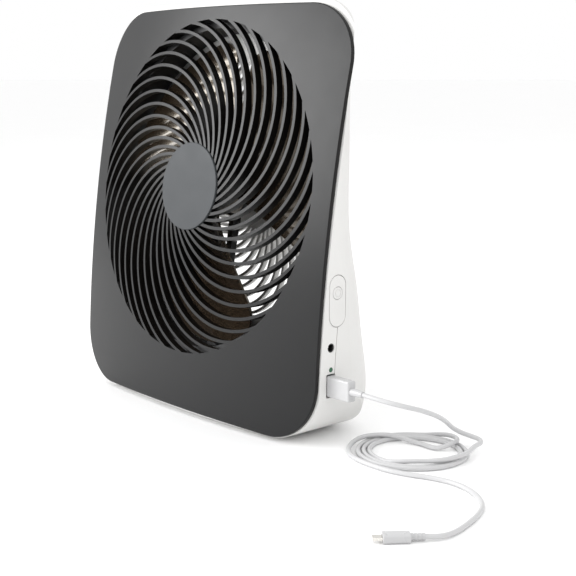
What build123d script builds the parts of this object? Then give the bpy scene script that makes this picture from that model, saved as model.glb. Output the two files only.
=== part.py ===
from build123d import *
import math
import os

# Portable box fan: domed front grille on a wedge housing, with a USB charging lead plugged into its side.
# Frame: +X to the viewer's right when facing the grille, +Y towards the back, +Z up.
# Origin: on the table, under the middle of the fan without its lead.

os.makedirs("parts", exist_ok=True)

# ---------------------------------------------------------------- driving dimensions, millimetres
OPENING_R = 135.0        # round opening in the front plate
LEAN = 8.8               # how far the front leans back, degrees
FAN_Y = -32.3            # centre of the opening: place along Y
FAN_Z = 186.0            # centre of the opening: height above the table
DOME_ACROSS = 914.6      # radius of the front's doming from side to side
DOME_UP = 1406.0         # radius of the front's doming from bottom to top

PLATE_W = 306.0
PLATE_TOP = 145.6        # from the opening's centre, up the slope
PLATE_BOTTOM = -181.7
PLATE_CORNER = 46.0
PLATE_T = 2.6
SEAM = 0.8               # shadow gap between plate and housing
FLANGE_T = 2.5
WALL = 2.6
FOOT_H = 2.5
HALF_W = 154.5           # housing half width
HOUSING_TOP = 331.4
HOUSING_CORNER = 47.5
PARTING = 18.2           # depth of the joint between the two shells, behind the front's surface

RIBS = 36
RIB_W = 2.5
RIB_DEEP = 6.0
RIB_ARC = 0.603          # rib's arc radius, per opening radius
RIB_OFFSET = 0.464       # distance from the arc's centre to the axis, per opening radius
RIB_START = 4.3          # degrees
HUB_R = 35.3

BACK_R = 112.0           # round opening in the back
BACK_Z = 176.0
BACK_HUB_R = 30.0

BLADES = 3
BLADE_R = 126.0
BLADE_T = 1.8
BLADE_PHASE = 22.0
SHAFT_R = 1.5
RUNNING = 0.05           # radial clearance of the shaft in its bushes
MOTOR_R = 15.0
MOTOR_FRONT = -30.0      # along the fan's axis, from the opening's centre
MOTOR_BACK = -56.0
SHROUD_R = 129.5
SHROUD_BACK = -41.0
STRUT_FRONT = -48.0

LEAD_D = 3.5             # charging lead's diameter
SIDE_Y = FAN_Y + 13.4    # middle of the row of sockets on the right side
USB_Z = 48.1
JACK_Z = 76.8
LED_Z = 60.3
BUTTON = (FAN_Y + 19.3, 117.3)
PAD_MID = (FAN_Y + 19.5, 111.3)
PAD_SIZE = (38.5, 16.0)
BOARD_X = 136.0
CELL_R = 17.1
CELL_LEN = 61.5
DOOR_GAP = 0.4

# ---------------------------------------------------------------- shared frames and outlines
LEAN_SIN = math.sin(math.radians(LEAN))
LEAN_COS = math.cos(math.radians(LEAN))
FACE = Plane(origin=(0, FAN_Y, FAN_Z), x_dir=(1, 0, 0), z_dir=(0, -LEAN_COS, LEAN_SIN))
FAN_AXIS = Axis(FACE.origin, FACE.z_dir)
BACK = Plane(origin=(0, FAN_Y, BACK_Z), x_dir=(-1, 0, 0), z_dir=(0, 1, 0))
PLATE_MID = (PLATE_TOP + PLATE_BOTTOM) / 2
PLATE_H = PLATE_TOP - PLATE_BOTTOM

# The housing's level cross-sections: height, depth of the back, half width of the flat back,
# depth where the side wall turns in, and how full the turn is. Depths are from the opening's centre.
RINGS = (
    (FOOT_H, 62.0, 60.0, 16.0, 0.50),
    (9.0, 73.0, 80.0, 24.0, 0.52),
    (22.0, 79.0, 88.0, 32.0, 0.55),
    (50.0, 80.0, 92.0, 36.0, 0.55),
    (90.0, 76.5, 96.0, 32.0, 0.45),
    (135.0, 72.0, 100.0, 26.0, 0.34),
    (185.0, 70.0, 98.0, 20.0, 0.30),
    (245.0, 71.0, 92.0, 22.0, 0.30),
    (290.0, 69.0, 80.0, 27.0, 0.34),
    (318.0, 60.0, 70.0, 32.0, 0.40),
    (HOUSING_TOP, 47.0, 60.0, 34.0, 0.40),
)


def front_edge(height):
    """Depth of the domed front at the side wall, at one height."""
    up = (height - FAN_Z) / LEAN_COS
    sink = HALF_W**2 / (2 * DOME_ACROSS) + up**2 / (2 * DOME_UP)
    return LEAN_SIN * up + LEAN_COS * sink


def behind_front(gap):
    """Everything further back than the domed front surface moved back by gap."""
    low, high, deep = -230.0, 200.0, -175.0
    section = Plane(origin=FACE.origin, x_dir=FACE.y_dir, z_dir=FACE.x_dir)
    spin = Axis(FACE.from_local_coords((0, 0, -gap - DOME_ACROSS)), FACE.y_dir)
    half_turn = 13.0

    def sink(up):
        return -gap - DOME_UP + math.sqrt(DOME_UP**2 - up**2)

    with BuildPart() as block:
        with BuildSketch(section):
            with BuildLine():
                ThreePointArc((low, sink(low)), (0, -gap), (high, sink(high)))
                Polyline((high, sink(high)), (high, deep), (low, deep), (low, sink(low)))
            make_face()
        revolve(axis=spin, revolution_arc=2 * half_turn)
    return block.part.rotate(spin, -half_turn)


def housing_block(inset):
    """The housing's outer shape, drawn in by inset on every side but the front."""
    front = -75.0
    with BuildPart() as block:
        for height, back, flat, side, full in RINGS:
            level = min(max(height, FOOT_H + inset), HOUSING_TOP - inset)
            edge = front_edge(height)
            half = HALF_W - inset
            turn = Vector(half - 0.04 * max(side - edge, 0.0), FAN_Y + side - 0.4 * inset)
            rear = Vector(flat - 0.4 * inset, FAN_Y + back - inset)
            out = turn + Vector(0, full * (rear.Y - turn.Y))
            along = rear + Vector(full * (turn.X - rear.X), 0)
            with BuildSketch(Plane.XY.offset(level)):
                with BuildLine():
                    Line((half, FAN_Y + front), (turn.X, turn.Y))
                    Bezier((turn.X, turn.Y), (out.X, out.Y), (along.X, along.Y), (rear.X, rear.Y))
                    Line((rear.X, rear.Y), (-rear.X, rear.Y))
                    Bezier((-rear.X, rear.Y), (-along.X, along.Y), (-out.X, out.Y), (-turn.X, turn.Y))
                    Line((-turn.X, turn.Y), (-half, FAN_Y + front))
                    Line((-half, FAN_Y + front), (half, FAN_Y + front))
                make_face()
        loft()
        with BuildSketch(Plane(origin=(0, FAN_Y + front, 0), x_dir=(1, 0, 0), z_dir=(0, -1, 0))):
            with Locations((0, (FOOT_H + HOUSING_TOP) / 2)):
                tall = HOUSING_TOP - FOOT_H - 2 * inset
                RectangleRounded(2 * (HALF_W - inset) + 0.2, tall + 0.2, HOUSING_CORNER - inset)
        extrude(amount=-(90.0 - front), mode=Mode.INTERSECT)
    return block.part


def rib_pattern(plane, opening, hub, width, count, start):
    """Curved ribs from the hub to the opening's edge, as flat faces on one plane."""
    arc = RIB_ARC * opening
    offset_r = RIB_OFFSET * opening

    def turn_at(radius):
        return math.degrees(math.acos((offset_r**2 + arc**2 - radius**2) / (2 * offset_r * arc)))

    first = turn_at(hub - 1.3)
    last = turn_at(opening + 0.6)
    with BuildLine(mode=Mode.PRIVATE) as line:
        CenterArc((0, 0), arc, 180 + first, last - first)
    with BuildSketch(plane) as ribs:
        with PolarLocations(offset_r, count, start_angle=start):
            SlotArc(line.edge(), width)
    return ribs.sketch


FRONT_SOLID = behind_front(0)
PLATE_BACK = behind_front(PLATE_T)
FLANGE_FRONT = behind_front(PLATE_T + SEAM)
FLANGE_BACK = behind_front(PLATE_T + SEAM + FLANGE_T)
SHELL_SPLIT = behind_front(PARTING)
HOUSING_OUT = housing_block(0)
HOUSING_IN = housing_block(WALL)


def polar(radius, angle):
    """A point from the fan's axis, in the plane of the front."""
    return (radius * math.cos(math.radians(angle)), radius * math.sin(math.radians(angle)))


def save(name, piece):
    """Label one finished piece and write it."""
    piece.label = name
    export_step(piece, "parts/" + name + ".step")


# ---------------------------------------------------------------- front grille and its badge
SCREW_SPOTS = ((118, 112), (-118, 112), (118, -130), (-118, -130))
SCREW_R = 1.5
COLLAR_BACK = -16.6
HUB_BACK = -9.0
BADGE_SEAT = -1.6
BOSS_BACK = PLATE_T + SEAM + FLANGE_T + 0.8


def seat(spot, gap):
    """Distance along the fan's axis of the domed front moved back by gap, at one spot."""
    return -gap - spot[0] ** 2 / (2 * DOME_ACROSS) - spot[1] ** 2 / (2 * DOME_UP)


def plate_outline(inset, mode=Mode.ADD):
    """Rounded outline of the front plate, drawn in by inset."""
    with Locations((0, PLATE_MID)):
        RectangleRounded(PLATE_W - 2 * inset, PLATE_H - 2 * inset, PLATE_CORNER - inset, mode=mode)


with BuildPart() as front_rib_set:
    pattern = rib_pattern(FACE.offset(1), OPENING_R, HUB_R, RIB_W, RIBS, RIB_START)
    extrude(pattern, amount=24, dir=-FACE.z_dir)
    add(FRONT_SOLID, mode=Mode.INTERSECT)
    add(behind_front(RIB_DEEP), mode=Mode.SUBTRACT)

with BuildPart() as plate_back_pieces:
    with BuildSketch(FACE.offset(-50)):
        plate_outline(3)
        plate_outline(4.6, mode=Mode.SUBTRACT)
    extrude(amount=50)
    add(FLANGE_FRONT, mode=Mode.SUBTRACT)
    for spot in SCREW_SPOTS:
        with BuildSketch(FACE.offset(seat(spot, BOSS_BACK))):
            with Locations(spot):
                Circle(4)
        extrude(amount=12)
    add(PLATE_BACK, mode=Mode.INTERSECT)

with BuildPart() as opening_collar:
    with BuildSketch(FACE.offset(COLLAR_BACK)):
        Circle(OPENING_R + 2.2)
        Circle(OPENING_R, mode=Mode.SUBTRACT)
    extrude(amount=20)
    add(behind_front(PLATE_T / 2), mode=Mode.INTERSECT)

with BuildPart() as front_grille:
    with BuildSketch(FACE.offset(-50)):
        plate_outline(0)
        Circle(OPENING_R, mode=Mode.SUBTRACT)
    extrude(amount=51)
    add(FRONT_SOLID, mode=Mode.INTERSECT)
    add(PLATE_BACK, mode=Mode.SUBTRACT)
    fillet(front_grille.faces().sort_by(SortBy.AREA)[-1].outer_wire().edges(), 0.9)
    add(opening_collar.part)
    with BuildSketch(FACE.offset(HUB_BACK)):
        Circle(HUB_R)
    extrude(amount=BADGE_SEAT - HUB_BACK)
    with BuildSketch(FACE.offset(HUB_BACK)):
        Circle(HUB_R - 3)
    extrude(amount=4.8, mode=Mode.SUBTRACT)
    add(plate_back_pieces.part)
    for spot in SCREW_SPOTS:
        with BuildSketch(FACE.offset(seat(spot, BOSS_BACK))):
            with Locations(spot):
                Circle(SCREW_R)
        extrude(amount=4.5, mode=Mode.SUBTRACT)
    add(front_rib_set.part)
    with BuildSketch(FACE.offset(BADGE_SEAT)):
        Circle(HUB_R)
    extrude(amount=4, mode=Mode.SUBTRACT)

with BuildPart() as hub_badge:
    with BuildSketch(FACE.offset(BADGE_SEAT)):
        Circle(HUB_R)
    extrude(amount=4)
    add(behind_front(-1.2), mode=Mode.INTERSECT)
    fillet(hub_badge.faces().sort_by(FAN_AXIS)[-1].edges(), 0.5)

save("front_grille", front_grille.part)
save("hub_badge", hub_badge.part)

# ---------------------------------------------------------------- two-part wedge housing and back guard
HOUSING_SCREWS = ((60, 52, 318), (-60, 52, 318), (118, 20, 22), (-118, 20, 22))
EAR_ANGLES = (45, 135, 225, 315)
EAR_R = 142.0
EAR_BACK = -21.0
EAR_T = 2.5
BOARD_POSTS = ((31, 44), (31, 120))
RIGHT = Plane(origin=(0, FAN_Y, 0), x_dir=(0, 1, 0), z_dir=(1, 0, 0))
REARWARD = Plane(origin=(0, FAN_Y, 0), x_dir=(-1, 0, 0), z_dir=(0, 1, 0))
PAD_SEAT = 152.0
PAD_BOSS = 148.4
DOOR_MID = (0, 27)
DOOR_SIZE = (192.0, 38.0)
FEET = ((95, 14), (-95, 14), (95, 47), (-95, 47))
FOOT_R = 7.0

with BuildPart() as hollow:
    add(HOUSING_IN)
    add(FLANGE_BACK, mode=Mode.INTERSECT)

with BuildPart() as inside_posts:
    with BuildSketch(REARWARD.offset(-40)):
        with Locations(*[(-x, z) for x, y, z in HOUSING_SCREWS]):
            Circle(5)
            Circle(1.6, mode=Mode.SUBTRACT)
    extrude(amount=140)
    with BuildSketch(FACE.offset(EAR_BACK + EAR_T)):
        with Locations(*[polar(EAR_R, angle) for angle in EAR_ANGLES]):
            Circle(3.4)
            Circle(1.4, mode=Mode.SUBTRACT)
    extrude(amount=20)
    with BuildSketch(RIGHT.offset(BOARD_X)):
        with Locations(*BOARD_POSTS):
            Circle(3)
            Circle(1.1, mode=Mode.SUBTRACT)
    extrude(amount=20)
    with BuildSketch(RIGHT.offset(PAD_BOSS)):
        with Locations((PAD_MID[0] - FAN_Y, PAD_MID[1])):
            SlotOverall(PAD_SIZE[0] + 6, PAD_SIZE[1] + 6, rotation=90)
    extrude(amount=4)
    add(HOUSING_OUT, mode=Mode.INTERSECT)
    add(FLANGE_FRONT, mode=Mode.INTERSECT)

with BuildPart() as back_collar:
    with BuildSketch(BACK.offset(30)):
        Circle(BACK_R + 2.4)
        Circle(BACK_R, mode=Mode.SUBTRACT)
    extrude(amount=60)
    add(HOUSING_OUT, mode=Mode.INTERSECT)
    add(HOUSING_OUT.moved(Location((0, -6, 0))), mode=Mode.SUBTRACT)

with BuildPart() as seam_groove:
    with BuildSketch(RIGHT.offset(HALF_W - 2.0)):
        with Locations((18, 75)):
            Rectangle(16, 37)
    extrude(amount=6)
    add(behind_front(PARTING - 0.35), mode=Mode.INTERSECT)
    add(behind_front(PARTING + 0.35), mode=Mode.SUBTRACT)

with BuildPart() as housing:
    add(HOUSING_OUT)
    add(FLANGE_FRONT, mode=Mode.INTERSECT)
    add(hollow.part, mode=Mode.SUBTRACT)
    add(inside_posts.part)
    add(back_collar.part)
    with BuildSketch(FACE.offset(-30)):
        Circle(OPENING_R + 2.4)
    extrude(amount=40, mode=Mode.SUBTRACT)
    for spot in SCREW_SPOTS:
        with BuildSketch(FACE.offset(-40)):
            with Locations(spot):
                Circle(4.2)
        extrude(amount=45, mode=Mode.SUBTRACT)
    with BuildSketch(BACK.offset(42)):
        Circle(BACK_R)
    extrude(amount=60, mode=Mode.SUBTRACT)
    with BuildSketch(REARWARD.offset(60)):
        with Locations(DOOR_MID):
            RectangleRounded(*DOOR_SIZE, 6)
    extrude(amount=40, mode=Mode.SUBTRACT)
    with BuildSketch(FACE.offset(EAR_BACK)):
        with Locations(*[polar(EAR_R, angle) for angle in EAR_ANGLES]):
            Circle(1.4)
    extrude(amount=7.4, mode=Mode.SUBTRACT)
    for x, y, z in HOUSING_SCREWS:
        with BuildSketch(REARWARD.offset(y)):
            with Locations((-x, z)):
                Circle(3.4)
        extrude(amount=80, mode=Mode.SUBTRACT)
    with BuildSketch(RIGHT.offset(PAD_SEAT)):
        with Locations((PAD_MID[0] - FAN_Y, PAD_MID[1])):
            SlotOverall(PAD_SIZE[0] + 1.0, PAD_SIZE[1] + 1.0, rotation=90)
    extrude(amount=6, mode=Mode.SUBTRACT)
    with BuildSketch(RIGHT.offset(148)):
        with Locations((BUTTON[0] - FAN_Y, BUTTON[1])):
            Circle(3.4)
        with Locations((SIDE_Y - FAN_Y, JACK_Z)):
            Circle(3.5)
        with Locations((SIDE_Y - FAN_Y, LED_Z)):
            Circle(1.9)
        with Locations((SIDE_Y - FAN_Y, USB_Z)):
            RectangleRounded(9.2, 18.0, 1.2)
    extrude(amount=10, mode=Mode.SUBTRACT)
    with BuildSketch(Plane.XY):
        with Locations(*[(x, FAN_Y + y) for x, y in FEET]):
            Circle(FOOT_R)
    extrude(amount=FOOT_H + 1, mode=Mode.SUBTRACT)
    add(seam_groove.part, mode=Mode.SUBTRACT)

with BuildPart() as front_housing:
    add(housing.part)
    add(SHELL_SPLIT, mode=Mode.SUBTRACT)

with BuildPart() as rear_housing:
    add(housing.part)
    add(SHELL_SPLIT, mode=Mode.INTERSECT)

with BuildPart() as rear_guard:
    guard_ribs = rib_pattern(BACK.offset(40), BACK_R - 2, BACK_HUB_R, RIB_W, RIBS, RIB_START)
    extrude(guard_ribs, amount=60, dir=BACK.z_dir)
    with BuildSketch(BACK.offset(40)):
        Circle(BACK_R)
        Circle(BACK_R - 2.4, mode=Mode.SUBTRACT)
        Circle(BACK_HUB_R)
    extrude(amount=60)
    add(HOUSING_OUT, mode=Mode.INTERSECT)
    add(HOUSING_OUT.moved(Location((0, -4.5, 0))), mode=Mode.SUBTRACT)

with BuildPart() as battery_door:
    with BuildSketch(REARWARD.offset(60)):
        with Locations(DOOR_MID):
            RectangleRounded(DOOR_SIZE[0] - 2 * DOOR_GAP, DOOR_SIZE[1] - 2 * DOOR_GAP, 6 - DOOR_GAP)
    extrude(amount=40)
    add(HOUSING_OUT, mode=Mode.INTERSECT)
    add(HOUSING_IN, mode=Mode.SUBTRACT)
    with BuildSketch(REARWARD.offset(79)):
        with Locations((0, 33), (0, 36.2), (0, 39.4)):
            SlotOverall(36, 1.4)
    extrude(amount=1.8)

save("front_housing", front_housing.part)
save("rear_housing", rear_housing.part)
save("rear_guard", rear_guard.part)
save("battery_door", battery_door.part)

# ---------------------------------------------------------------- duct ring, motor mount
STRUT_ANGLES = (-90, 35, 145)
STRUT_T = 5.0
LUG_R = 134.0
LUG_SEAT = -45.5
ROOM = HOUSING_IN.moved(Location((0, -0.8, 0)))


def spun(along, across, angle):
    """A point given along and across a strut, turned to the strut's angle."""
    turned = Vector(along, across).rotate(Axis.Z, angle)
    return (turned.X, turned.Y)


with BuildPart() as shroud:
    with BuildSketch(FACE.offset(SHROUD_BACK)):
        Circle(SHROUD_R + 2)
        Circle(SHROUD_R, mode=Mode.SUBTRACT)
    extrude(amount=COLLAR_BACK - SHROUD_BACK)
    with BuildSketch(FACE.offset(COLLAR_BACK - 2)):
        Circle(OPENING_R + 2.2)
        Circle(SHROUD_R, mode=Mode.SUBTRACT)
    extrude(amount=2)
    with BuildSketch(FACE.offset(EAR_BACK)):
        for angle in EAR_ANGLES:
            with Locations(Location((*polar(138.5, angle), 0), angle)):
                RectangleRounded(16, 14, 2)
        Circle(SHROUD_R + 1, mode=Mode.SUBTRACT)
    extrude(amount=EAR_T)
    with BuildSketch(FACE.offset(SHROUD_BACK)):
        for angle in STRUT_ANGLES:
            with Locations(Location((*polar(133.5, angle), 0), angle)):
                RectangleRounded(7, 13, 1.5)
        Circle(SHROUD_R + 1, mode=Mode.SUBTRACT)
    extrude(amount=7)
    with BuildSketch(FACE.offset(EAR_BACK)):
        with Locations(*[polar(EAR_R, angle) for angle in EAR_ANGLES]):
            Circle(1.4)
    extrude(amount=EAR_T, mode=Mode.SUBTRACT)
    with BuildSketch(FACE.offset(SHROUD_BACK)):
        for angle in STRUT_ANGLES:
            with Locations(polar(LUG_R, angle)):
                Circle(1.2)
    extrude(amount=6, mode=Mode.SUBTRACT)
    add(ROOM, mode=Mode.INTERSECT)

with BuildPart() as motor_mount:
    with BuildSketch(FACE.offset(STRUT_FRONT - STRUT_T)):
        for angle in STRUT_ANGLES:
            corners = ((15, 3.0), (50, 3.2), (131, 5.7), (131, -5.7), (50, -3.2), (15, -3.0))
            with BuildLine():
                Polyline(*[spun(*corner, angle) for corner in corners], close=True)
            make_face()
    extrude(amount=STRUT_T)
    with BuildSketch(FACE.offset(STRUT_FRONT)):
        for angle in STRUT_ANGLES:
            with Locations(Location((*polar(132, angle), 0), angle)):
                RectangleRounded(9, 12, 1.5)
    extrude(amount=SHROUD_BACK - STRUT_FRONT)
    with BuildSketch(FACE.offset(MOTOR_BACK - 4.5)):
        Circle(MOTOR_R + 2.5)
    extrude(amount=STRUT_FRONT - MOTOR_BACK + 4.5)
    with BuildSketch(FACE.offset(MOTOR_BACK - 2.5)):
        Circle(MOTOR_R)
    extrude(amount=20, mode=Mode.SUBTRACT)
    with BuildSketch(FACE.offset(MOTOR_BACK - 4.5)):
        Circle(6)
        with Locations((9.5, 0), (-9.5, 0)):
            Circle(1.25)
    extrude(amount=4, mode=Mode.SUBTRACT)
    lugs = [polar(LUG_R, angle) for angle in STRUT_ANGLES]
    with BuildSketch(FACE.offset(STRUT_FRONT)):
        with Locations(*lugs):
            Circle(1.2)
    extrude(amount=8, mode=Mode.SUBTRACT)
    with BuildSketch(FACE.offset(LUG_SEAT)):
        with Locations(*lugs):
            Circle(2.8)
    extrude(amount=-10, mode=Mode.SUBTRACT)
    add(ROOM, mode=Mode.INTERSECT)

save("shroud", shroud.part)
save("motor_mount", motor_mount.part)

# ---------------------------------------------------------------- motor
BUSH_R = 3.5

with BuildPart() as motor_can:
    with BuildSketch(FACE.offset(MOTOR_BACK)):
        Circle(MOTOR_R)
    extrude(amount=MOTOR_FRONT - MOTOR_BACK)
    with BuildSketch(FACE.offset(MOTOR_FRONT)):
        Circle(BUSH_R + 1)
    extrude(amount=1.6)
    with BuildSketch(FACE.offset(MOTOR_BACK)):
        Circle(MOTOR_R - 1)
    extrude(amount=MOTOR_FRONT - MOTOR_BACK - 1, mode=Mode.SUBTRACT)
    with BuildSketch(FACE.offset(MOTOR_FRONT - 2)):
        Circle(BUSH_R)
    extrude(amount=6, mode=Mode.SUBTRACT)
    fillet(motor_can.edges().filter_by(GeomType.CIRCLE).group_by(SortBy.RADIUS)[-1].sort_by(FAN_AXIS)[-1], 0.8)

with BuildPart() as motor_end_cap:
    with BuildSketch(FACE.offset(MOTOR_BACK - 2.5)):
        Circle(MOTOR_R)
        Circle(BUSH_R, mode=Mode.SUBTRACT)
        with Locations((9.5, 0), (-9.5, 0)):
            Circle(1.25, mode=Mode.SUBTRACT)
    extrude(amount=2.5)


def bush(back, length):
    """Sintered bush for the shaft."""
    with BuildPart() as piece:
        with BuildSketch(FACE.offset(back)):
            Circle(BUSH_R)
            Circle(SHAFT_R + RUNNING, mode=Mode.SUBTRACT)
        extrude(amount=length)
    return piece.part


with BuildPart() as motor_magnets:
    with BuildSketch(FACE.offset(MOTOR_BACK + 3)):
        Circle(MOTOR_R - 1)
        Circle(MOTOR_R - 3.2, mode=Mode.SUBTRACT)
        Rectangle(8, 40, mode=Mode.SUBTRACT)
    extrude(amount=20)

with BuildPart() as motor_brushes:
    with BuildSketch(FACE.offset(MOTOR_BACK)):
        with Locations((0, 5.2), (0, -5.2)):
            Rectangle(2.4, 3.4)
    extrude(amount=2.6)

with BuildPart() as motor_shaft:
    with BuildSketch(FACE.offset(MOTOR_BACK - 2)):
        Circle(SHAFT_R)
    extrude(amount=43)
    chamfer(motor_shaft.edges().group_by(FAN_AXIS)[-1], 0.3)

with BuildPart() as motor_armature:
    with BuildSketch(FACE.offset(MOTOR_BACK + 6)):
        Circle(11)
        Circle(SHAFT_R, mode=Mode.SUBTRACT)
        with PolarLocations(8.5, 5):
            RectangleRounded(6, 3, 0.8, mode=Mode.SUBTRACT)
    extrude(amount=14)

with BuildPart() as motor_windings:
    for back in (MOTOR_BACK + 3.4, MOTOR_BACK + 20):
        with BuildSketch(FACE.offset(back)):
            Circle(9.5)
            Circle(4.5, mode=Mode.SUBTRACT)
        extrude(amount=2.6)

with BuildPart() as motor_commutator:
    with BuildSketch(FACE.offset(MOTOR_BACK + 0.3)):
        Circle(3.3)
        Circle(SHAFT_R, mode=Mode.SUBTRACT)
    extrude(amount=3.0)

save("motor_can", motor_can.part)
save("motor_end_cap", motor_end_cap.part)
save("motor_front_bush", bush(MOTOR_FRONT - 2, 3.2))
save("motor_rear_bush", bush(MOTOR_BACK - 2.5, 2.5))
save("motor_magnets", motor_magnets.part)
save("motor_brushes", motor_brushes.part)
save("motor_shaft", motor_shaft.part)
save("motor_armature", motor_armature.part)
save("motor_windings", motor_windings.part)
save("motor_commutator", motor_commutator.part)

# ---------------------------------------------------------------- impeller with three broad blades
BLADE_MID = -31.0        # along the fan's axis
HUB_OUT = 21.0
BLADE_SECTIONS = (       # radius, pitch, chord, camber
    (14, 36.0, 46.0, 2.0),
    (50, 14.0, 124.0, 5.0),
    (90, 8.0, 196.0, 8.0),
    (134, 8.0, 196.0, 8.0),
)
BLADE_LEAD = ((17, -40.0), (70, -46.0), (BLADE_R, -46.0))     # radius, degrees from the blade's middle
BLADE_TRAIL = ((BLADE_R, 48.0), (70, 43.0), (17, 26.0))
TIP_ROUND = 16.0

with BuildPart() as blade_slab:
    for radius, pitch, chord, camber in BLADE_SECTIONS:
        angle = math.radians(BLADE_PHASE)
        outward = Vector(*FACE.x_dir) * math.cos(angle) + Vector(*FACE.y_dir) * math.sin(angle)
        around = Vector(*FACE.y_dir) * math.cos(angle) - Vector(*FACE.x_dir) * math.sin(angle)
        tilt = math.radians(pitch)
        along = around * math.cos(tilt) + Vector(*FACE.z_dir) * math.sin(tilt)
        middle = Vector(*FACE.origin) + Vector(*FACE.z_dir) * BLADE_MID + outward * radius
        half = BLADE_T / 2
        with BuildSketch(Plane(origin=middle, x_dir=along, z_dir=outward)):
            with BuildLine():
                ThreePointArc((-chord / 2, half), (0, half - camber), (chord / 2, half))
                Line((chord / 2, half), (chord / 2, -half))
                ThreePointArc((chord / 2, -half), (0, -half - camber), (-chord / 2, -half))
                Line((-chord / 2, -half), (-chord / 2, half))
            make_face()
    loft()

with BuildPart() as blade:
    with BuildSketch(FACE.offset(-70)):
        with BuildLine():
            lead = [polar(radius, BLADE_PHASE + turn) for radius, turn in BLADE_LEAD]
            trail = [polar(radius, BLADE_PHASE + turn) for radius, turn in BLADE_TRAIL]
            ThreePointArc(*lead)
            ThreePointArc(lead[2], polar(BLADE_R, BLADE_PHASE), trail[0])
            ThreePointArc(*trail)
            Line(trail[2], lead[0])
        make_face()
        outline_corners = vertices().sort_by(SortBy.DISTANCE)[-2:]
        fillet(outline_corners, TIP_ROUND)
    extrude(amount=70)
    add(blade_slab.part, mode=Mode.INTERSECT)

with BuildPart() as impeller:
    with BuildSketch(FACE.offset(-44)):
        Circle(HUB_OUT)
    extrude(amount=25)
    fillet(impeller.edges().group_by(FAN_AXIS)[-1], 2)
    for step in range(BLADES):
        add(blade.part.rotate(FAN_AXIS, step * 360 / BLADES))
    with BuildSketch(FACE.offset(-60)):
        Circle(HUB_OUT - 2.5)
    extrude(amount=60 - 21.5, mode=Mode.SUBTRACT)
    with BuildSketch(FACE.offset(-27)):
        Circle(5)
    extrude(amount=6)
    with BuildSketch(FACE.offset(-30)):
        Circle(SHAFT_R)
    extrude(amount=20, mode=Mode.SUBTRACT)

with BuildPart() as impeller_nut:
    with BuildSketch(FACE.offset(-19)):
        RegularPolygon(5, 6)
        Circle(SHAFT_R, mode=Mode.SUBTRACT)
    extrude(amount=4.5)

save("impeller", impeller.part)
save("impeller_nut", impeller_nut.part)

# ---------------------------------------------------------------- side controls, board and sockets
def side(y, z, x):
    """Plane facing out of the right side at depth y, height z and distance x from the middle."""
    return Plane(origin=(x, FAN_Y + y, z), x_dir=(0, 1, 0), z_dir=(1, 0, 0))


PORT_Y = SIDE_Y - FAN_Y
BUTTON_Y = BUTTON[0] - FAN_Y
PAD_Y = PAD_MID[0] - FAN_Y

with BuildPart() as button_pad:
    with BuildSketch(side(PAD_Y, PAD_MID[1], PAD_SEAT)):
        SlotOverall(*PAD_SIZE, rotation=90)
        with Locations((BUTTON_Y - PAD_Y, BUTTON[1] - PAD_MID[1])):
            Circle(4.9, mode=Mode.SUBTRACT)
    extrude(amount=1.9)
    fillet(button_pad.faces().sort_by(Axis.X)[-1].outer_wire().edges(), 0.6)

with BuildPart() as power_button:
    with BuildSketch(side(BUTTON_Y, BUTTON[1], PAD_SEAT + 0.8)):
        Circle(4.6)
    extrude(amount=1.4)
    fillet(power_button.faces().sort_by(Axis.X)[-1].edges(), 0.5)
    with BuildSketch(side(BUTTON_Y, BUTTON[1], PAD_SEAT + 2.2)):
        Circle(3.0)
        Circle(2.3, mode=Mode.SUBTRACT)
    extrude(amount=-0.3, mode=Mode.SUBTRACT)
    with BuildSketch(side(BUTTON_Y, BUTTON[1], 145.5)):
        Circle(2.8)
    extrude(amount=PAD_SEAT + 0.8 - 145.5)
    with BuildSketch(side(BUTTON_Y, BUTTON[1], 147.0)):
        Circle(4.4)
    extrude(amount=1.2)

with BuildPart() as control_board:
    with BuildSketch(side(0, 0, BOARD_X - 1.6)):
        with Locations((23, 81)):
            RectangleRounded(26, 90, 1.5)
        with Locations(*BOARD_POSTS):
            Circle(1.2, mode=Mode.SUBTRACT)
    extrude(amount=1.6)

with BuildPart() as tact_switch:
    with BuildSketch(side(BUTTON_Y, BUTTON[1], BOARD_X)):
        RectangleRounded(6, 6, 0.5)
    extrude(amount=4)
    with BuildSketch(side(BUTTON_Y, BUTTON[1], BOARD_X + 4)):
        Circle(1.75)
    extrude(amount=4.8)

with BuildPart() as status_led:
    with BuildSketch(side(PORT_Y, LED_Z, BOARD_X)):
        Rectangle(2.6, 2.6)
    extrude(amount=1.2)

with BuildPart() as led_lens:
    with BuildSketch(side(PORT_Y, LED_Z, BOARD_X + 1.2)):
        Circle(1.5)
    extrude(amount=12)
    with BuildSketch(side(PORT_Y, LED_Z, BOARD_X + 13.2)):
        Circle(1.9)
    extrude(amount=4.6)
    fillet(led_lens.faces().sort_by(Axis.X)[-1].edges(), 0.7)

with BuildPart() as dc_jack:
    with BuildSketch(side(PORT_Y, JACK_Z, BOARD_X)):
        RectangleRounded(8.6, 11, 0.6)
    extrude(amount=14)
    with BuildSketch(side(PORT_Y, JACK_Z, BOARD_X + 14)):
        Circle(3.45)
    extrude(amount=2.6)
    with BuildSketch(side(PORT_Y, JACK_Z, BOARD_X + 4)):
        Circle(2.75)
    extrude(amount=14, mode=Mode.SUBTRACT)

with BuildPart() as dc_jack_pin:
    with BuildSketch(side(PORT_Y, JACK_Z, BOARD_X + 4)):
        Circle(1.0)
    extrude(amount=10)
    fillet(dc_jack_pin.faces().sort_by(Axis.X)[-1].edges(), 0.6)

SOCKET_MOUTH = 152.6

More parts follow.
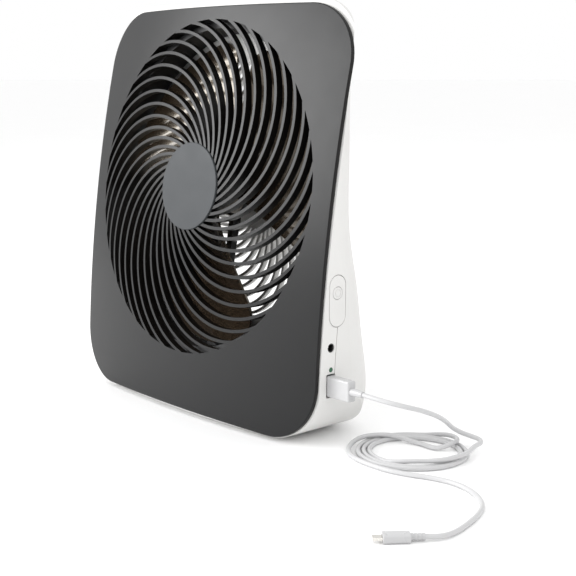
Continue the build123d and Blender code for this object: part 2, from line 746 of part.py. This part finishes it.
with BuildPart() as usb_socket_shell:
    with BuildSketch(side(PORT_Y, USB_Z, BOARD_X)):
        RectangleRounded(6.0, 13.6, 0.6)
    extrude(amount=SOCKET_MOUTH - BOARD_X)
    with BuildSketch(side(PORT_Y, USB_Z, BOARD_X + 1.0)):
        RectangleRounded(5.2, 12.8, 0.4)
    extrude(amount=20, mode=Mode.SUBTRACT)

with BuildPart() as usb_socket_tongue:
    with BuildSketch(side(PORT_Y, USB_Z, BOARD_X + 1.0)):
        RectangleRounded(5.2, 12.8, 0.4)
    extrude(amount=2.0)
    with BuildSketch(side(PORT_Y + 0.85, USB_Z, BOARD_X + 3.0)):
        Rectangle(1.3, 10.4)
    extrude(amount=11.0)

save("button_pad", button_pad.part)
save("power_button", power_button.part)
save("control_board", control_board.part)
save("tact_switch", tact_switch.part)
save("status_led", status_led.part)
save("led_lens", led_lens.part)
save("dc_jack", dc_jack.part)
save("dc_jack_pin", dc_jack_pin.part)
save("usb_socket_shell", usb_socket_shell.part)
save("usb_socket_tongue", usb_socket_tongue.part)

# ---------------------------------------------------------------- batteries in the base
ROWS = (17.5, 52.5)
CELL_Z = 6.6 + CELL_R
ROW_HALF = 1.5 * CELL_LEN
TRAY_FLOOR = FOOT_H + WALL

with BuildPart() as battery_tray:
    with BuildSketch(Plane.XY.offset(TRAY_FLOOR)):
        with Locations((0, FAN_Y + 26)):
            Rectangle(194, 55)
    extrude(amount=1.5)
    with BuildSketch(Plane.XY.offset(TRAY_FLOOR + 1.5)):
        with Locations((95.9, FAN_Y + 28), (-95.9, FAN_Y + 28)):
            Rectangle(2.2, 59)
        with Locations((0, FAN_Y - 0.75)):
            Rectangle(194, 1.5)
    extrude(amount=22)
    with BuildSketch(Plane.XY.offset(TRAY_FLOOR + 1.5)):
        with Locations((0, FAN_Y + 35)):
            Rectangle(180, 0.8)
    extrude(amount=9)

with BuildPart() as battery_cells:
    for row in ROWS:
        for index in range(3):
            start = -ROW_HALF + index * CELL_LEN
            with BuildSketch(side(row, CELL_Z, start)):
                Circle(CELL_R)
            extrude(amount=CELL_LEN - 1.5)
            with BuildSketch(side(row, CELL_Z, start + CELL_LEN - 1.5)):
                Circle(4.75)
            extrude(amount=1.5)

with BuildPart() as battery_contacts:
    for row in ROWS:
        for x in (94.0, -94.8):
            with BuildSketch(side(row, CELL_Z, x)):
                Rectangle(14, 14)
            extrude(amount=0.8)
        with BuildSketch(side(row, CELL_Z, ROW_HALF)):
            Circle(3.5)
        extrude(amount=94.0 - ROW_HALF)
        with BuildSketch(side(row, CELL_Z, -94.0)):
            Circle(6)
        extrude(amount=94.0 - ROW_HALF)

save("battery_tray", battery_tray.part)
save("battery_cells", battery_cells.part)
save("battery_contacts", battery_contacts.part)

# ---------------------------------------------------------------- wires and cord routes


def route_radii(points):
    """Arc radius at each corner: 0.45 of the shorter run over the tangent of half the turn."""
    radii = []
    for before, at, after in zip(points, points[1:], points[2:]):
        into = Vector(*at) - Vector(*before)
        out = Vector(*after) - Vector(*at)
        half_turn = math.radians(into.get_angle(out)) / 2
        radii.append(0.45 * min(into.length, out.length) / math.tan(half_turn))
    return radii


def tube(points, diameter, name):
    """Round cord along straight runs joined by tangent arcs."""
    radii = route_radii(points)
    heading = Vector(*points[1]) - Vector(*points[0])
    with BuildPart() as cord:
        with BuildLine() as path:
            FilletPolyline(*points, radius=radii)
        with BuildSketch(Plane(origin=points[0], z_dir=heading)):
            Circle(diameter / 2)
        sweep(path=path.line)
    length = sum(edge.length for edge in path.edges())
    expected = length * math.pi * diameter**2 / 4
    print(name, "length", round(length, 1), "radii", [round(r, 1) for r in radii])
    print(name, "volume over section x length", round(cord.part.volume / expected, 4))
    return cord.part


def from_face(u, v, w):
    """A point given in the plane of the front, as table coordinates."""
    return tuple(FACE.from_local_coords((u, v, w)))


MOTOR_LEAD = [
    from_face(0, -17.5, -57.0),
    from_face(0, -48, -54.9),
    from_face(0, -88, -54.3),
    from_face(2, -118, -55.5),
    (12, FAN_Y + 36, 48.5),
    (44, FAN_Y + 35.5, 44.5),
    (84, FAN_Y + 35, 46.5),
    (112, FAN_Y + 32, 54),
    (134.4, FAN_Y + 29, 58),
]
BATTERY_LEAD = [
    (97, FAN_Y + 33, 19),
    (103, FAN_Y + 33, 21.5),
    (108, FAN_Y + 32.5, 28),
    (116, FAN_Y + 31.5, 34),
    (126, FAN_Y + 30, 38),
    (134.4, FAN_Y + 29, 39),
]
save("motor_lead", tube(MOTOR_LEAD, 2.4, "motor_lead"))
save("battery_lead", tube(BATTERY_LEAD, 2.4, "battery_lead"))

# ---------------------------------------------------------------- charging lead with its plugs
PLUG_FACE = 153.0
OVERMOULD_END = 176.0
RELIEF_END = 187.0
PLUG_TIP = 141.5
COIL_MID = (202.0, FAN_Y + 51.0)
COIL_OUT = 45.0
COIL_IN = 25.0
COIL_H = 9.0

with BuildPart() as usb_plug_shell:
    with BuildSketch(side(PORT_Y, USB_Z, PLUG_TIP)):
        RectangleRounded(4.5, 12.0, 0.5)
        RectangleRounded(3.8, 11.3, 0.3, mode=Mode.SUBTRACT)
    extrude(amount=PLUG_FACE - PLUG_TIP)

with BuildPart() as usb_plug_core:
    with BuildSketch(side(PORT_Y - 0.95, USB_Z, PLUG_TIP + 0.4)):
        Rectangle(1.9, 11.0)
    extrude(amount=PLUG_FACE - PLUG_TIP - 0.4)

with BuildPart() as usb_plug_grip:
    with BuildSketch(side(PORT_Y, USB_Z, PLUG_FACE)):
        RectangleRounded(7.8, 15.8, 1.6)
    extrude(amount=OVERMOULD_END - PLUG_FACE)
    fillet(usb_plug_grip.faces().sort_by(Axis.X)[-1].edges(), 1.4)

with BuildPart() as usb_plug_relief:
    with BuildSketch(side(PORT_Y, USB_Z, OVERMOULD_END)):
        Circle(3.1)
    with BuildSketch(side(PORT_Y, USB_Z, RELIEF_END)):
        Circle(2.3)
    loft()

with BuildPart() as usb_coil:
    with BuildSketch(Plane.XY):
        with Locations(COIL_MID):
            Circle(COIL_OUT)
            Circle(COIL_IN, mode=Mode.SUBTRACT)
    extrude(amount=COIL_H)
    fillet(usb_coil.edges(), 2.5)

USB_LEAD = [
    (RELIEF_END, SIDE_Y, USB_Z),
    (204, FAN_Y + 14.6, 47.2),
    (217, FAN_Y + 21.5, 44.8),
    (224, FAN_Y + 35, 40.5),
    (225, FAN_Y + 51, 33.5),
    (220.5, FAN_Y + 66, 25.5),
    (216, FAN_Y + 79, 17),
    (215.5, FAN_Y + 88, 11),
    (219, FAN_Y + 95.5, 8),
]
USB_TAIL = [
    (204, FAN_Y + 4.8, 1.8),
    (220, FAN_Y + 5.2, 1.8),
    (236, FAN_Y + 9.8, 1.8),
    (252, FAN_Y + 17.6, 1.8),
    (271, FAN_Y + 20.9, 1.8),
    (290, FAN_Y + 16, 1.8),
    (308.5, FAN_Y + 3, 1.8),
    (318, FAN_Y - 15, 1.8),
    (325, FAN_Y - 38, 1.8),
    (327, FAN_Y - 51, 2.0),
    (325.5, FAN_Y - 60.5, 2.5),
    (320.5, FAN_Y - 67, 2.9),
]
save("usb_plug_shell", usb_plug_shell.part)
save("usb_plug_core", usb_plug_core.part)
save("usb_plug_grip", usb_plug_grip.part)
save("usb_plug_relief", usb_plug_relief.part)
save("usb_coil", usb_coil.part)
save("usb_lead", tube(USB_LEAD, LEAD_D, "usb_lead"))
save("usb_tail", tube(USB_TAIL, LEAD_D, "usb_tail"))

# The connector lies on the table, pointing away from the last run of its lead.
TAIL_END = Vector(*USB_TAIL[-1])
TAIL_HEADING = (TAIL_END - Vector(*USB_TAIL[-2])).normalized()
LEVEL_HEADING = Vector(TAIL_HEADING.X, TAIL_HEADING.Y, 0).normalized()
PLUG_START = Plane(origin=TAIL_END, x_dir=(0, 0, 1), z_dir=LEVEL_HEADING)

with BuildPart() as connector_relief:
    with BuildSketch(PLUG_START):
        Circle(2.3)
    extrude(amount=9)
    for step in range(3):
        with BuildSketch(PLUG_START.offset(1.6 + 2.4 * step)):
            Circle(3)
            Circle(2.0, mode=Mode.SUBTRACT)
        extrude(amount=0.9, mode=Mode.SUBTRACT)

with BuildPart() as connector_grip:
    with BuildSketch(PLUG_START.offset(9)):
        RectangleRounded(5.8, 9.4, 2.0)
    extrude(amount=17)
    fillet(connector_grip.faces().filter_by(GeomType.PLANE).edges(), 0.5)

with BuildPart() as connector_tip:
    with BuildSketch(PLUG_START.offset(26)):
        RectangleRounded(1.8, 6.8, 0.7)
    extrude(amount=6)

save("connector_relief", connector_relief.part)
save("connector_grip", connector_grip.part)
save("connector_tip", connector_tip.part)

# ---------------------------------------------------------------- feet and fasteners


with BuildPart() as feet:
    with BuildSketch(Plane.XY):
        with Locations(*[(x, FAN_Y + y) for x, y in FEET]):
            Circle(FOOT_R)
    extrude(amount=FOOT_H + 1)
    fillet(feet.edges().group_by(Axis.Z)[0], 0.8)


def screws(places, shank_len, shank_r, head_r, head_t):
    """Identical pan-head screws: each place is the plane under the head, facing the head."""
    with BuildPart() as group:
        for place in places:
            with BuildSketch(place.offset(-shank_len)):
                Circle(shank_r)
            extrude(amount=shank_len)
            with BuildSketch(place):
                Circle(head_r)
            extrude(amount=head_t)
            with BuildSketch(place.offset(head_t - 0.5)):
                Rectangle(head_r * 1.1, 0.7)
                Rectangle(0.7, head_r * 1.1)
            extrude(amount=1, mode=Mode.SUBTRACT)
    return group.part


def back_plane(u, v, w):
    """Plane square to the fan's axis, facing backwards."""
    return Plane(origin=from_face(u, v, w), x_dir=(1, 0, 0), z_dir=-FACE.z_dir)


grille_places = [back_plane(*spot, seat(spot, BOSS_BACK)) for spot in SCREW_SPOTS]
shroud_places = [back_plane(*polar(EAR_R, angle), EAR_BACK) for angle in EAR_ANGLES]
mount_places = [back_plane(*polar(LUG_R, angle), LUG_SEAT) for angle in STRUT_ANGLES]
motor_places = [back_plane(u, 0, MOTOR_BACK - 4.5) for u in (9.5, -9.5)]
housing_places = [
    Plane(origin=(x, FAN_Y + y, z), x_dir=(1, 0, 0), z_dir=(0, 1, 0)) for x, y, z in HOUSING_SCREWS
]
board_places = [
    Plane(origin=(BOARD_X - 1.6, FAN_Y + y, z), x_dir=(0, 1, 0), z_dir=(-1, 0, 0)) for y, z in BOARD_POSTS
]
save("feet", feet.part)
save("grille_screws", screws(grille_places, 4.4, SCREW_R, 4.6, 2.0))
save("shroud_screws", screws(shroud_places, 7.2, 1.4, 3.0, 1.8))
save("mount_screws", screws(mount_places, 9.0, 1.2, 2.4, 1.4))
save("motor_screws", screws(motor_places, 4.4, 1.25, 2.4, 1.4))
save("housing_screws", screws(housing_places, 16.0, 1.6, 3.2, 2.4))
save("board_screws", screws(board_places, 8.0, 1.1, 2.2, 1.4))
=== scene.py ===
import bpy
import bmesh
import math
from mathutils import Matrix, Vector


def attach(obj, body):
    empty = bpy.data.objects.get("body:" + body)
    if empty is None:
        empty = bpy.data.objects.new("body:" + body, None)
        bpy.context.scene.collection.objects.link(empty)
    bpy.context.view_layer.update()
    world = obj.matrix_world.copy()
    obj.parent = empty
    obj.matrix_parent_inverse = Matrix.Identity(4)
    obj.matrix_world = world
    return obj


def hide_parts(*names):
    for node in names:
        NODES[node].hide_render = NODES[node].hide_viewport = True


# Looks of the portable box fan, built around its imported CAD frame. Lengths in metres.

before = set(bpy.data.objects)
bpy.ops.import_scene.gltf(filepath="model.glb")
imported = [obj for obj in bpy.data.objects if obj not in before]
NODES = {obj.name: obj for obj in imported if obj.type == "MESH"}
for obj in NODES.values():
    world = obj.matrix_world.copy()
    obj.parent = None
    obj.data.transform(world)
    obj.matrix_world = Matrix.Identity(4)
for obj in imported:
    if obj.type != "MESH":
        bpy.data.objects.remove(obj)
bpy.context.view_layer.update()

FAN_Y = -0.0323          # middle of the front opening along Y
CORD_R = 0.00175         # charging lead's radius
COIL_X = 0.2022          # middle of the loose coil
COIL_Y = FAN_Y + 0.0505
CAMERA_PLACE = (0.7734, FAN_Y - 0.5782, 0.2793)
CAMERA_AIM = (-0.73619, 0.65216, -0.18085)
CAMERA_LENS = 74.6       # mm, on a sensor of the width below
CAMERA_SENSOR = 36.0


# ---------------------------------------------------------------- camera and cord come first
def look(thing, towards):
    """Turn a camera or a light to face along a direction, kept level."""
    thing.rotation_euler = Vector(towards).to_track_quat("-Z", "Y").to_euler()


def make_camera():
    data = bpy.data.cameras.new("camera")
    data.lens = CAMERA_LENS
    data.sensor_width = CAMERA_SENSOR
    data.clip_end = 30.0
    camera = bpy.data.objects.new("camera", data)
    camera.location = CAMERA_PLACE
    look(camera, CAMERA_AIM)
    bpy.context.scene.collection.objects.link(camera)
    bpy.context.scene.camera = camera


# The two stretches that are not coiled. The tail has part.py's points. The lead has its first six;
# the next three are moved by under 5 mm and two are added, so that it lands on the coil.
LEAD_ROUTE = [
    (0.1870, FAN_Y + 0.0134, 0.0481),
    (0.2040, FAN_Y + 0.0146, 0.0472),
    (0.2170, FAN_Y + 0.0215, 0.0448),
    (0.2240, FAN_Y + 0.0350, 0.0405),
    (0.2250, FAN_Y + 0.0510, 0.0335),
    (0.2205, FAN_Y + 0.0660, 0.0255),
    (0.2165, FAN_Y + 0.0775, 0.0175),
    (0.2180, FAN_Y + 0.0865, 0.0120),
    (0.2230, FAN_Y + 0.0930, 0.0090),
    (0.2305, FAN_Y + 0.0935, 0.0082),
    (0.2362, FAN_Y + 0.0880, 0.0080),
]
TAIL_ROUTE = [
    (0.2040, FAN_Y + 0.0048, 0.0018),
    (0.2200, FAN_Y + 0.0052, 0.0018),
    (0.2360, FAN_Y + 0.0098, 0.0018),
    (0.2520, FAN_Y + 0.0176, 0.0018),
    (0.2710, FAN_Y + 0.0209, 0.0018),
    (0.2900, FAN_Y + 0.0160, 0.0018),
    (0.3085, FAN_Y + 0.0030, 0.0018),
    (0.3180, FAN_Y - 0.0150, 0.0018),
    (0.3250, FAN_Y - 0.0380, 0.0018),
    (0.3270, FAN_Y - 0.0510, 0.0020),
    (0.3255, FAN_Y - 0.0605, 0.0025),
    (0.3205, FAN_Y - 0.0670, 0.0029),
]
# The loose coil as stages: angle about its middle in degrees, radius and height of the cord there.
# The lead's turn starts on top and sinks onto the table, winds on there, and climbs to double back.
COIL_STAGES = [
    (40, 0.0455, 0.0080),
    (18, 0.0428, 0.0068),
    (-5, 0.0385, 0.0058),
    (-25, 0.0355, 0.0054),
    (-50, 0.0330, 0.0050),
    (-85, 0.0325, 0.0018),
    (-200, 0.0325, 0.0018),
    (-350, 0.0367, 0.0018),
    (-560, 0.0367, 0.0018),
    (-710, 0.0408, 0.0018),
    (-960, 0.0410, 0.0018),
    (-972, 0.0408, 0.0035),
    (-986, 0.0412, 0.0052),
]
BACK_STAGES = [
    (110, 0.0190, 0.0018),
    (140, 0.0235, 0.0024),
    (160, 0.0300, 0.0052),
    (180, 0.0375, 0.0056),
    (197, 0.0435, 0.0054),
    (213, 0.0478, 0.0026),
    (235, 0.0480, 0.0018),
    (255, 0.0462, 0.0018),
]
TURN_ANGLE = 84                                    # the half loop inside the coil: place, size, heights
TURN_MID_R = 0.0290
TURN_R = 0.0120
TURN_HEIGHTS = (0.0056, 0.0056, 0.0056, 0.0054, 0.0035, 0.0019, 0.0018)
POINTS_PER_TURN = 16


def on_ring(angle, radius, height):
    turn = math.radians(angle)
    return (COIL_X + radius * math.cos(turn), COIL_Y + radius * math.sin(turn), height)


def wind(stages):
    """Points along a coil between stages, evenly spaced in angle and eased in radius and height."""
    points = []
    for (a0, r0, z0), (a1, r1, z1) in zip(stages, stages[1:]):
        count = max(1, round(abs(a1 - a0) / 360 * POINTS_PER_TURN))
        for step in range(count):
            t = step / count
            ease = t * t * (3 - 2 * t)
            points.append(on_ring(a0 + (a1 - a0) * t, r0 + (r1 - r0) * ease, z0 + (z1 - z0) * ease))
    points.append(on_ring(*stages[-1]))
    return points


def double_back():
    """The half loop over the coil's turns and down inside it, where the cord turns to run the other way."""
    middle = on_ring(TURN_ANGLE, TURN_MID_R, 0.0)
    points = []
    for step, height in enumerate(TURN_HEIGHTS):
        turn = math.radians(TURN_ANGLE - step * 180 / (len(TURN_HEIGHTS) - 1))
        points.append((middle[0] + TURN_R * math.cos(turn), middle[1] + TURN_R * math.sin(turn), height))
    return points


def make_cord():
    """The charging lead as one spline: down from the plug, round the coil, back over it and away."""
    route = [*LEAD_ROUTE, *wind(COIL_STAGES), *double_back(), *wind(BACK_STAGES), *TAIL_ROUTE]
    data = bpy.data.curves.new("charging_cord", "CURVE")
    data.dimensions = "3D"
    data.bevel_depth = CORD_R
    data.bevel_resolution = 5
    data.resolution_u = 8
    data.use_fill_caps = True
    spline = data.splines.new("NURBS")
    spline.points.add(len(route) - 1)
    for point, place in zip(spline.points, route):
        point.co = (*place, 1.0)
    spline.order_u = 3
    spline.use_endpoint_u = True
    cord = bpy.data.objects.new("charging_cord", data)
    bpy.context.scene.collection.objects.link(cord)
    return cord


make_camera()
cord = make_cord()


# ---------------------------------------------------------------- materials
NOISE_LOW, NOISE_HIGH = 0.3, 0.7                   # the middle range of a noise, where most of it lies
MIX_A, MIX_B, MIX_RESULT = 6, 7, 2                 # a colour mix node's two inputs and its output
FLANK_Y, FACE_Y = -0.35, -0.80                     # normal's Y where a rib's flank, painted in shade, ends and its face begins


def link(tree, out_node, out_name, in_node, in_name):
    tree.links.new(out_node.outputs[out_name], in_node.inputs[in_name])


def principled(name, colour, roughness, metallic=0.0, ior=1.5):
    """A new material's tree and shader, with its constant values on the shader's own sockets."""
    material = bpy.data.materials.new(name)
    material.use_nodes = True
    tree = material.node_tree
    shader = tree.nodes["Principled BSDF"]
    shader.inputs["Base Color"].default_value = (*colour, 1.0)
    shader.inputs["Roughness"].default_value = roughness
    shader.inputs["Metallic"].default_value = metallic
    shader.inputs["IOR"].default_value = ior
    return material, tree, shader


def object_place(tree, stretch=(1, 1, 1)):
    place = tree.nodes.new("ShaderNodeTexCoord")
    mapping = tree.nodes.new("ShaderNodeMapping")
    mapping.inputs["Scale"].default_value = stretch
    link(tree, place, "Object", mapping, "Vector")
    return mapping


def noise(tree, place, scale, detail=3.0, rough=0.5):
    texture = tree.nodes.new("ShaderNodeTexNoise")
    texture.inputs["Scale"].default_value = scale
    texture.inputs["Detail"].default_value = detail
    texture.inputs["Roughness"].default_value = rough
    link(tree, place, "Vector", texture, "Vector")
    return texture


def spread(tree, source, low, high):
    """Map a noise's middle range onto low to high."""
    remap = tree.nodes.new("ShaderNodeMapRange")
    remap.inputs["From Min"].default_value = NOISE_LOW
    remap.inputs["From Max"].default_value = NOISE_HIGH
    remap.inputs["To Min"].default_value = low
    remap.inputs["To Max"].default_value = high
    link(tree, source, "Fac", remap, "Value")
    return remap


def tint(tree, shader, source, dark, light):
    """Vary the base colour between two tones with a noise."""
    ramp = tree.nodes.new("ShaderNodeValToRGB")
    ramp.color_ramp.elements[0].position = NOISE_LOW
    ramp.color_ramp.elements[0].color = (*dark, 1.0)
    ramp.color_ramp.elements[1].position = NOISE_HIGH
    ramp.color_ramp.elements[1].color = (*light, 1.0)
    link(tree, source, "Fac", ramp, "Fac")
    link(tree, ramp, "Color", shader, "Base Color")


def bumped(tree, shader, source, strength, distance):
    bump = tree.nodes.new("ShaderNodeBump")
    bump.inputs["Strength"].default_value = strength
    bump.inputs["Distance"].default_value = distance
    link(tree, source, "Fac", bump, "Height")
    link(tree, bump, "Normal", shader, "Normal")


def shade(colour, amount):
    return tuple(min(1.0, channel * amount) for channel in colour)


def moulded(name, colour, roughness, grain=900.0, strength=0.25, depth=0.00004, vary=0.06, uneven=1.0):
    """Moulded plastic: spark-eroded grain, slight tone changes and an uneven sheen."""
    material, tree, shader = principled(name, colour, roughness)
    place = object_place(tree)
    tone = noise(tree, place, 14.0, 4.0)
    tint(tree, shader, tone, shade(colour, 1 - vary), shade(colour, 1 + vary))
    sheen = noise(tree, place, 60.0, 3.0)
    varied = spread(tree, sheen, roughness - 0.04 * uneven, roughness + 0.05 * uneven)
    link(tree, varied, "Result", shader, "Roughness")
    bumped(tree, shader, noise(tree, place, grain, 2.0, 0.6), strength, depth)
    return material


def brushed(name, colour, roughness, stretch=(1, 40, 40)):
    """Metal with fine lines from rolling or turning."""
    material, tree, shader = principled(name, colour, roughness, metallic=1.0)
    place = object_place(tree, stretch)
    lines = noise(tree, place, 60.0, 4.0)
    link(tree, spread(tree, lines, roughness - 0.07, roughness + 0.1), "Result", shader, "Roughness")
    tint(tree, shader, noise(tree, place, 25.0), shade(colour, 0.9), shade(colour, 1.06))
    bumped(tree, shader, lines, 0.12, 0.00002)
    return material


def glossy(name, colour, roughness, coat=0.6, vary=0.1):
    """Polished moulding with a clear gloss and faint flow lines."""
    material = moulded(name, colour, roughness, grain=70.0, strength=0.04, depth=0.0002, vary=vary)
    shader = material.node_tree.nodes["Principled BSDF"]
    shader.inputs["Coat Weight"].default_value = coat
    shader.inputs["Coat Roughness"].default_value = 0.04
    return material


def front_material():
    """Charcoal front with a fine spark-eroded texture; its ribs' flanks get a painted shade, a charcoal
    nearly the same as the face's, chosen by the surface normal.
    """
    charcoal = (0.0036, 0.0038, 0.0043)
    # Painted shade: the slightly darker, warmer charcoal given to the ribs' flanks.
    painted_flank_shade = (0.0035, 0.0032, 0.0030)
    material = moulded("front_charcoal", charcoal, 0.33, grain=1500.0, strength=0.30, depth=0.00005,
                       vary=0.05, uneven=0.3)
    tree = material.node_tree
    shader = tree.nodes["Principled BSDF"]
    shader.inputs["Specular IOR Level"].default_value = 0.29
    # Painted shade: the normal's Y tells flanks from faces; flanks get the painted flank shade, faces keep
    # the charcoal.
    facing = tree.nodes.new("ShaderNodeSeparateXYZ")
    place = tree.nodes.new("ShaderNodeTexCoord")
    link(tree, place, "Normal", facing, "Vector")
    front = tree.nodes.new("ShaderNodeMapRange")
    front.inputs["From Min"].default_value = FLANK_Y
    front.inputs["From Max"].default_value = FACE_Y
    link(tree, facing, "Y", front, "Value")
    face = shader.inputs["Base Color"].links[0].from_socket
    mix = tree.nodes.new("ShaderNodeMix")
    mix.data_type = "RGBA"
    mix.inputs[MIX_A].default_value = (*painted_flank_shade, 1.0)
    link(tree, front, "Result", mix, "Factor")
    tree.links.new(face, mix.inputs[MIX_B])
    tree.links.new(mix.outputs[MIX_RESULT], shader.inputs["Base Color"])
    return material


def lens_material():
    material, tree, shader = principled("led_green_lens", (0.003, 0.08, 0.03), 0.25)
    place = object_place(tree)
    tint(tree, shader, noise(tree, place, 500.0), (0.002, 0.06, 0.022), (0.004, 0.11, 0.04))
    shader.inputs["Coat Weight"].default_value = 0.3
    return material


def coil_material():
    """Enamelled copper: fine parallel turns as bumps round the winding."""
    material, tree, shader = principled("copper_wire", (0.72, 0.29, 0.12), 0.3, metallic=1.0)
    place = object_place(tree)
    wave = tree.nodes.new("ShaderNodeTexWave")
    wave.inputs["Scale"].default_value = 600.0
    wave.inputs["Distortion"].default_value = 2.0
    link(tree, place, "Vector", wave, "Vector")
    bumped(tree, shader, wave, 0.5, 0.0002)
    tint(tree, shader, noise(tree, place, 300.0), (0.6, 0.22, 0.08), (0.8, 0.35, 0.16))
    return material


def paint(material, *names):
    for name in names:
        node = NODES[name]
        node.data.materials.clear()
        node.data.materials.append(material)


HOUSING = (0.70, 0.695, 0.68)
WHITE = (0.50, 0.50, 0.505)
BLACK = (0.012, 0.012, 0.013)

paint(front_material(), "front_grille")
badge = moulded("badge_grey", (0.058, 0.062, 0.066), 0.42, grain=1500.0, strength=0.2)
badge.node_tree.nodes["Principled BSDF"].inputs["Specular IOR Level"].default_value = 0.14
paint(badge, "hub_badge")
housing = moulded("housing_warm_grey", HOUSING, 0.48, grain=1300.0, strength=0.2, vary=0.02)
paint(housing, "front_housing", "rear_housing", "rear_guard", "battery_door")
paint(moulded("pad_warm_grey", HOUSING, 0.42, grain=1700.0, strength=0.12, vary=0.02),
      "button_pad", "power_button")
paint(moulded("inner_black", BLACK, 0.5, grain=800.0), "shroud", "motor_mount", "motor_end_cap",
      "impeller_nut", "battery_tray", "tact_switch", "usb_socket_tongue")
blades = glossy("smoke_blades", (0.032, 0.022, 0.014), 0.14)
blades.node_tree.nodes["Principled BSDF"].inputs["Specular IOR Level"].default_value = 0.9
blades.node_tree.nodes["Principled BSDF"].inputs["Specular Tint"].default_value = (1.0, 0.86, 0.66, 1.0)
paint(blades, "impeller")
paint(glossy("jack_black", BLACK, 0.3), "dc_jack")
paint(brushed("zinc_plate", (0.62, 0.62, 0.63), 0.34), "motor_can", "grille_screws", "shroud_screws",
      "mount_screws", "motor_screws", "housing_screws", "board_screws")
paint(brushed("turned_steel", (0.6, 0.6, 0.61), 0.28), "motor_shaft", "motor_armature")
paint(brushed("nickel_plate", (0.75, 0.73, 0.69), 0.25), "usb_socket_shell", "usb_plug_shell",
      "connector_tip", "dc_jack_pin", "battery_contacts", "status_led")
paint(brushed("sintered_bronze", (0.5, 0.3, 0.14), 0.5), "motor_front_bush", "motor_rear_bush")
paint(moulded("ferrite", (0.03, 0.03, 0.034), 0.7, grain=400.0), "motor_magnets", "motor_brushes")
paint(coil_material(), "motor_windings", "motor_commutator")
paint(moulded("board_green", (0.012, 0.09, 0.03), 0.3, grain=300.0, strength=0.1), "control_board")
paint(lens_material(), "led_lens")
paint(moulded("cell_wrap", (0.03, 0.035, 0.05), 0.3, grain=40.0, strength=0.05), "battery_cells")
paint(moulded("wire_insulation", (0.015, 0.013, 0.012), 0.4), "motor_lead", "battery_lead")
paint(moulded("foot_rubber", (0.02, 0.02, 0.02), 0.85, grain=700.0, strength=0.4), "feet")
plug_white = glossy("plug_white", WHITE, 0.3, coat=0.3, vary=0.01)
paint(plug_white, "usb_plug_core", "usb_plug_grip", "usb_plug_relief", "connector_relief", "connector_grip")
cord.data.materials.append(glossy("cord_white", shade(WHITE, 1.08), 0.36, coat=0.2, vary=0.012))

# ---------------------------------------------------------------- what rides on what
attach(cord, "usb_cable")
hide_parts("usb_lead", "usb_coil", "usb_tail")


def cord_length():
    """Length along the cord's own spline, measured on the curve with no bevel."""
    bare = cord.data.copy()
    bare.bevel_depth = 0.0
    holder = bpy.data.objects.new("bare_cord", bare)
    mesh = bpy.data.meshes.new_from_object(holder)
    points = [v.co.copy() for v in mesh.vertices]
    bpy.data.objects.remove(holder)
    bpy.data.meshes.remove(mesh)
    return sum((b - a).length for a, b in zip(points, points[1:]))


CORD_LENGTH = round(cord_length(), 3)


# ---------------------------------------------------------------- floor and light
FLOOR_R = 60.0
FLOOR_WHITE = (0.98, 0.98, 0.98)


def make_floor():
    """A pale round floor that runs out to the horizon."""
    mesh = bpy.data.meshes.new("floor")
    disc = bmesh.new()
    bmesh.ops.create_circle(disc, cap_ends=True, segments=96, radius=FLOOR_R)
    disc.to_mesh(mesh)
    disc.free()
    floor = bpy.data.objects.new("floor", mesh)
    bpy.context.scene.collection.objects.link(floor)
    material, tree, shader = principled("floor_white", FLOOR_WHITE, 0.55)
    patches = noise(tree, object_place(tree), 3.0)
    tint(tree, shader, patches, shade(FLOOR_WHITE, 0.995), shade(FLOOR_WHITE, 1.005))
    mesh.materials.append(material)


def make_light(name, place, aim, size, power, colour=(1, 1, 1)):
    data = bpy.data.lights.new(name, "AREA")
    data.shape = "RECTANGLE"
    data.size, data.size_y = size
    data.energy = power
    data.color = colour
    light = bpy.data.objects.new(name, data)
    light.location = place
    look(light, Vector(aim) - Vector(place))
    bpy.context.scene.collection.objects.link(light)


def make_world():
    world = bpy.data.worlds.new("studio")
    world.use_nodes = True
    backdrop = world.node_tree.nodes["Background"]
    backdrop.inputs["Color"].default_value = (1.0, 1.0, 1.0, 1.0)
    backdrop.inputs["Strength"].default_value = 1.0
    bpy.context.scene.world = world


make_floor()
make_world()
make_light("overhead", (-0.1, -0.2, 1.9), (0, 0, 0), (2.2, 1.6), 5.0)
make_light("left_softbox", (-1.18, -1.50, 0.78), (0, FAN_Y, 0.22), (1.5, 0.95), 36.0)
make_light("right_fill", (1.5, -0.3, 1.3), (0.1, 0, 0.25), (1.0, 1.0), 4.0)
bpy.context.scene.view_settings.view_transform = "Standard"
